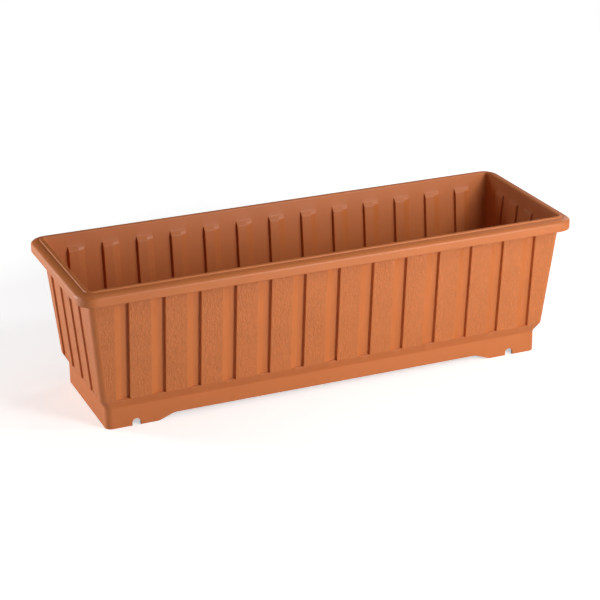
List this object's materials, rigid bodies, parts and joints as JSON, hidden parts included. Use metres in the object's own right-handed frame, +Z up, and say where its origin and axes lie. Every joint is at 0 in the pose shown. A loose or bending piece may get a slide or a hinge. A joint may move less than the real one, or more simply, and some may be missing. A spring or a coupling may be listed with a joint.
{
  "type": "window box planter",
  "caption": "Long moulded window box planter with tapered board-patterned walls, a rolled rim with a bead, a plinth on corner feet and push-in plugs in its drain holes.",
  "frame": {"origin": "on the ground under the middle of the planter", "axes": "+X along the length to the right, +Y to the back, +Z up; the front wall looks towards -Y"},
  "size_m": [0.6, 0.208, 0.175],
  "materials": {
    "terracotta_plastic": "matte moulded plastic in terracotta colour; grained on the boards, smooth on the rim, the joints and the plinth",
    "plug_plastic": "smooth matte plastic, a little darker than the box"
  },
  "bodies": {
    "box": {"trough": "terracotta_plastic"},
    "drain_plug_front_1": {"drain_plug_front_1": "plug_plastic"},
    "drain_plug_front_2": {"drain_plug_front_2": "plug_plastic"},
    "drain_plug_front_3": {"drain_plug_front_3": "plug_plastic"},
    "drain_plug_front_4": {"drain_plug_front_4": "plug_plastic"},
    "drain_plug_back_1": {"drain_plug_back_1": "plug_plastic"},
    "drain_plug_back_2": {"drain_plug_back_2": "plug_plastic"},
    "drain_plug_back_3": {"drain_plug_back_3": "plug_plastic"},
    "drain_plug_back_4": {"drain_plug_back_4": "plug_plastic"}
  },
  "joints": [
    {"name": "drain_plug_front_1_lift", "type": "slide", "parent": "box", "child": "drain_plug_front_1", "axis": [0, 0, 1], "range_m": [0, 0.03]},
    {"name": "drain_plug_front_2_lift", "type": "slide", "parent": "box", "child": "drain_plug_front_2", "axis": [0, 0, 1], "range_m": [0, 0.03]},
    {"name": "drain_plug_front_3_lift", "type": "slide", "parent": "box", "child": "drain_plug_front_3", "axis": [0, 0, 1], "range_m": [0, 0.03]},
    {"name": "drain_plug_front_4_lift", "type": "slide", "parent": "box", "child": "drain_plug_front_4", "axis": [0, 0, 1], "range_m": [0, 0.03]},
    {"name": "drain_plug_back_1_lift", "type": "slide", "parent": "box", "child": "drain_plug_back_1", "axis": [0, 0, 1], "range_m": [0, 0.03]},
    {"name": "drain_plug_back_2_lift", "type": "slide", "parent": "box", "child": "drain_plug_back_2", "axis": [0, 0, 1], "range_m": [0, 0.03]},
    {"name": "drain_plug_back_3_lift", "type": "slide", "parent": "box", "child": "drain_plug_back_3", "axis": [0, 0, 1], "range_m": [0, 0.03]},
    {"name": "drain_plug_back_4_lift", "type": "slide", "parent": "box", "child": "drain_plug_back_4", "axis": [0, 0, 1], "range_m": [0, 0.03]}
  ]
}
